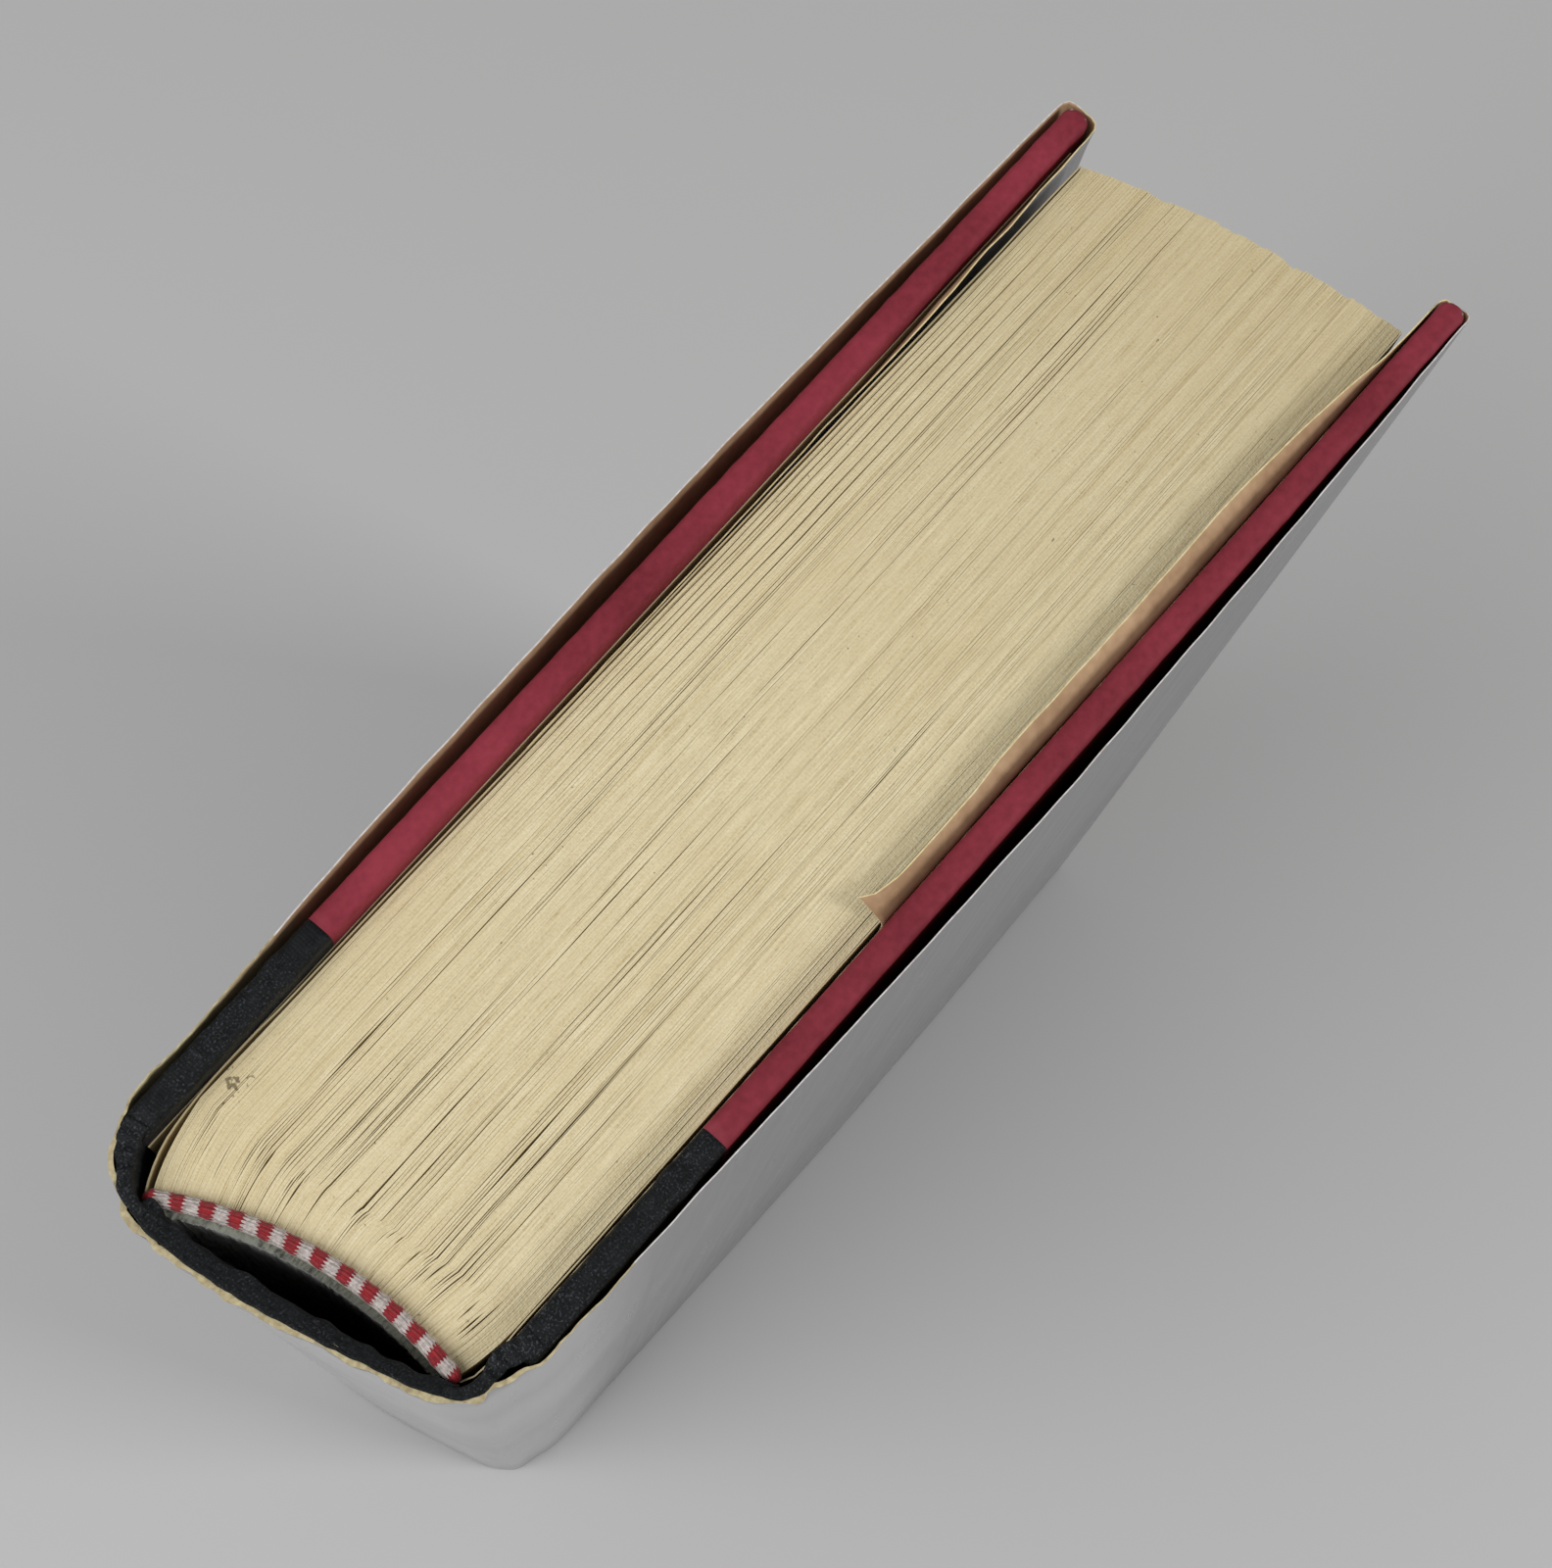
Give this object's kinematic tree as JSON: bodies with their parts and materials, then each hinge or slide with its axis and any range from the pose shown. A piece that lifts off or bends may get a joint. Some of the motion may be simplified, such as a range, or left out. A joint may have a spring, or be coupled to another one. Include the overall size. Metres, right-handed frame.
{
  "type": "hardback book",
  "caption": "Thick quarter-bound hardback book in a paper jacket, standing on its tail edge, with two hinged covers.",
  "frame": {"origin": "middle of the footprint's box, on the surface that the tail edges stand on", "axes": "+X from the spine to the fore-edge, +Y from the front cover to the back cover, +Z from tail to head"},
  "size_m": [0.1726, 0.0526, 0.2413],
  "materials": {
    "leaves": "uncoated book paper, matte",
    "endpaper": "uncoated endpaper, matte",
    "headband": "red and white woven band",
    "lining": "crash cloth and paper lining, matte",
    "greyboard": "matte",
    "book_cloth": "black starched book cloth",
    "cover_paper": "raspberry cover paper, matte",
    "jacket": "coated jacket paper, gloss"
  },
  "bodies": {
    "book_block": {"text_block": "leaves", "front_flyleaf": "endpaper", "back_flyleaf": "endpaper", "headband": "headband", "tailband": "headband", "spine_lining": "lining", "spine_inlay": "greyboard", "spine_cloth": "book_cloth", "jacket_spine": "jacket"},
    "front_cover": {"front_board": "greyboard", "front_cloth": "book_cloth", "front_paper": "cover_paper", "front_pastedown": "endpaper", "jacket_front": "jacket"},
    "back_cover": {"back_board": "greyboard", "back_cloth": "book_cloth", "back_paper": "cover_paper", "back_pastedown": "endpaper", "jacket_back": "jacket"}
  },
  "joints": [
    {"name": "front_cover_hinge", "type": "hinge", "parent": "book_block", "child": "front_cover", "pos_m": [-0.07273, -0.02382, 0.12065], "axis": [0, 0, -1], "range_deg": [0, 175]},
    {"name": "back_cover_hinge", "type": "hinge", "parent": "book_block", "child": "back_cover", "pos_m": [-0.08337, 0.02158, 0.12065], "axis": [0, 0, 1], "range_deg": [0, 175]}
  ]
}
